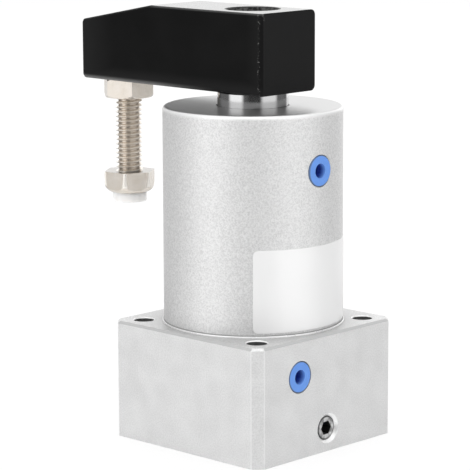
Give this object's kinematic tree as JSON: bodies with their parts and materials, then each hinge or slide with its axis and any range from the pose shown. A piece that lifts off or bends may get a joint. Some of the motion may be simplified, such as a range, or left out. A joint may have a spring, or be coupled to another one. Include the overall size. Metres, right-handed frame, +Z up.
{
  "type": "rotary clamp cylinder",
  "caption": "Pneumatic swing clamp: round barrel on a square drilled base, black arm on a chromed rod that lifts and turns, and a padded clamping bolt.",
  "frame": {"origin": "centre of the square base's bottom face, on the rod's axis, in the plane of the four corner holes' lower ends", "axes": "+Z up along the rod; both air ports face -Y; the arm points along +Y when the clamp is closed"},
  "size_m": [0.042, 0.064, 0.0897],
  "materials": {
    "base_aluminium": "smooth clear-anodised, fine satin",
    "barrel_aluminium": "bead-blasted and clear-anodised",
    "piston_aluminium": "turned",
    "arm_black": "black oxide, satin, worn at the near corner",
    "rod_chrome": "ground and hard-chromed",
    "ground_steel": "ground",
    "spring_steel": "phosphated",
    "zinc_steel": "zinc-plated",
    "black_steel": "black oxide",
    "nickel_steel": "nickel-plated, warm",
    "pad_white": "translucent white nylon",
    "blue_plastic": "semi-gloss cornflower blue",
    "label_white": "plain semi-gloss film",
    "seal_rubber": "black nitrile",
    "bumper_rubber": "amber polyurethane",
    "wear_plastic": "filled resin",
    "bush_bronze": "sintered bronze"
  },
  "bodies": {
    "housing": {"base_block": "base_aluminium", "barrel": "barrel_aluminium", "label": "label_white", "port_plug_lower": "blue_plastic", "port_plug_upper": "blue_plastic", "set_screw": "zinc_steel", "guide_shaft": "ground_steel", "shaft_seal": "seal_rubber", "retaining_ring": "spring_steel", "body_seal": "seal_rubber", "lower_bumper": "bumper_rubber", "gland_ring": "spring_steel", "rod_bush": "bush_bronze", "rod_seal": "seal_rubber", "rod_wiper": "seal_rubber"},
    "piston_set": {"piston": "piston_aluminium", "piston_seals": "seal_rubber", "wear_ring": "wear_plastic", "neck_seal": "seal_rubber", "upper_bumper": "bumper_rubber"},
    "rod_and_arm": {"piston_rod": "rod_chrome", "ball_collar": "ground_steel", "guide_balls": "ground_steel", "clamp_arm": "arm_black", "arm_washer": "black_steel", "arm_screw": "black_steel", "clamp_bolt": "nickel_steel", "lock_nut": "nickel_steel", "bolt_pad": "pad_white"}
  },
  "joints": [
    {"name": "rod_lift", "type": "slide", "parent": "housing", "child": "piston_set", "axis": [0, 0, 1], "range_m": [0, 0.024]},
    {"name": "arm_swing", "type": "hinge", "parent": "piston_set", "child": "rod_and_arm", "pos_m": [0, 0, 0], "axis": [0, 0, -1], "range_deg": [0, 90]}
  ],
  "couplings": [
    {"joint": "arm_swing", "follows": "rod_lift", "rad_per_m": 65.45}
  ]
}
